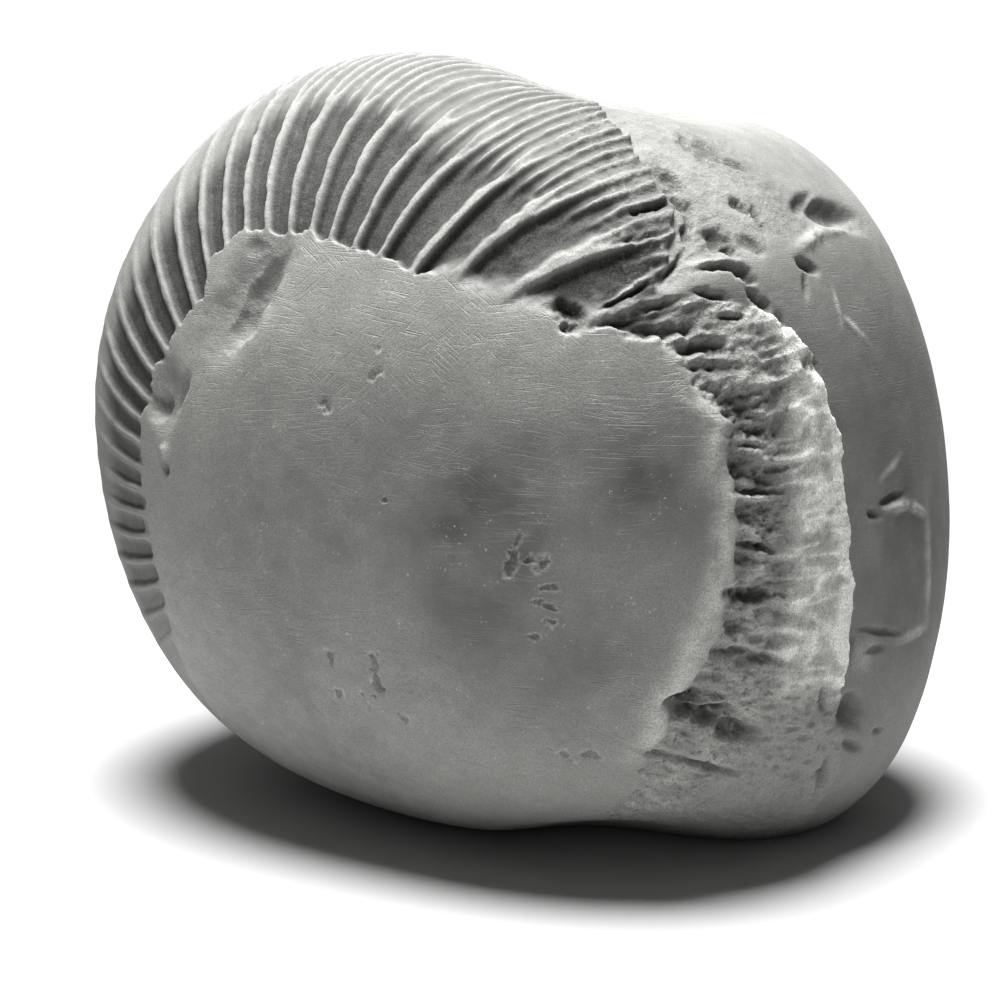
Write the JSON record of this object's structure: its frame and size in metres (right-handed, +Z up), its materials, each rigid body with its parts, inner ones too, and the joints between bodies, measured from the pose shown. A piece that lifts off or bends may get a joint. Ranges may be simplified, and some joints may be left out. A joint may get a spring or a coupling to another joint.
{
  "type": "ammonite fossil nodule",
  "caption": "River-worn dark limestone nodule standing on its rim, with a smooth domed face, a ribbed ammonite whorl round the rim and a smooth back lobe.",
  "frame": {"origin": "middle of the bounding box's bottom, on the flat worn foot the stone rests on", "axes": "+Z up; the shell's coil axis lies along Y, with the smooth front dome facing -Y and the back lobe facing +Y; X runs across the coil"},
  "size_m": [0.1108, 0.0824, 0.1007],
  "materials": {
    "stone": "worn matte, with a dull polish on the rubbed domes and pale dusty crests"
  },
  "bodies": {
    "root": {"ammonite_nodule": "stone"}
  },
  "joints": []
}
